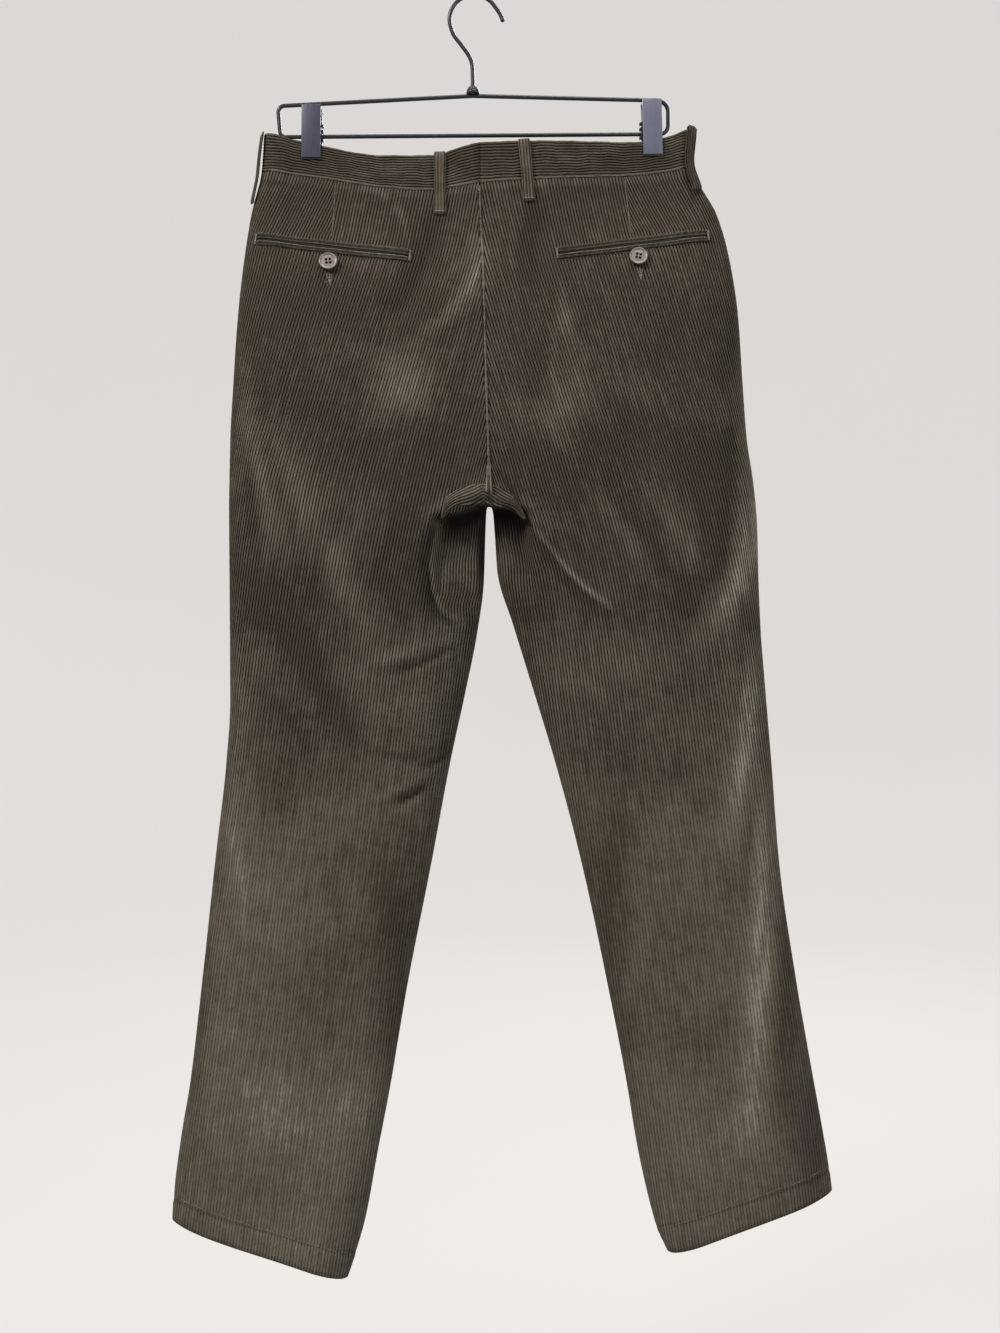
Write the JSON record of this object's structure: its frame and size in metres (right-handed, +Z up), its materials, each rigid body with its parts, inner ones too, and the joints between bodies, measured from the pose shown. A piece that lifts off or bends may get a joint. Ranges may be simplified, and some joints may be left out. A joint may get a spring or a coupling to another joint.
{
  "type": "corduroy trousers on clip hanger",
  "caption": "Wide-wale corduroy trousers with button-through welt pockets, hung by the waistband from a wire hanger with clips.",
  "frame": {"origin": "inside top of the hanger's hook, where a rail carries it, in the mid plane between the trousers' back and front", "axes": "+Z up along the hanging length, -Y out of the back of the trousers, +X towards the wearer's right"},
  "size_m": [0.6115, 0.0526, 1.1938],
  "materials": {
    "corduroy": "wide-wale cotton pile, dark olive brown, worn lighter in places",
    "button": "taupe, softly polished",
    "wire": "black coating, satin",
    "clip_plate": "dark blue-grey, satin"
  },
  "bodies": {
    "root": {"back_left": "corduroy", "back_right": "corduroy", "front_left": "corduroy", "front_right": "corduroy", "waistband_left": "corduroy", "waistband_right": "corduroy", "belt_loop_back_left": "corduroy", "belt_loop_back_right": "corduroy", "belt_loop_front_left": "corduroy", "belt_loop_front_right": "corduroy", "belt_loop_side_left": "corduroy", "belt_loop_side_right": "corduroy", "welt_upper_left": "corduroy", "welt_lower_left": "corduroy", "welt_upper_right": "corduroy", "welt_lower_right": "corduroy", "fly_flap": "corduroy", "pocket_button_left": "button", "pocket_button_right": "button", "waist_button": "button", "hanger_frame": "wire", "hanger_hook": "wire", "hanger_collar": "wire", "clip_left_back": "clip_plate", "clip_left_front": "clip_plate", "clip_left_pivot": "wire", "clip_right_back": "clip_plate", "clip_right_front": "clip_plate", "clip_right_pivot": "wire"}
  },
  "joints": []
}
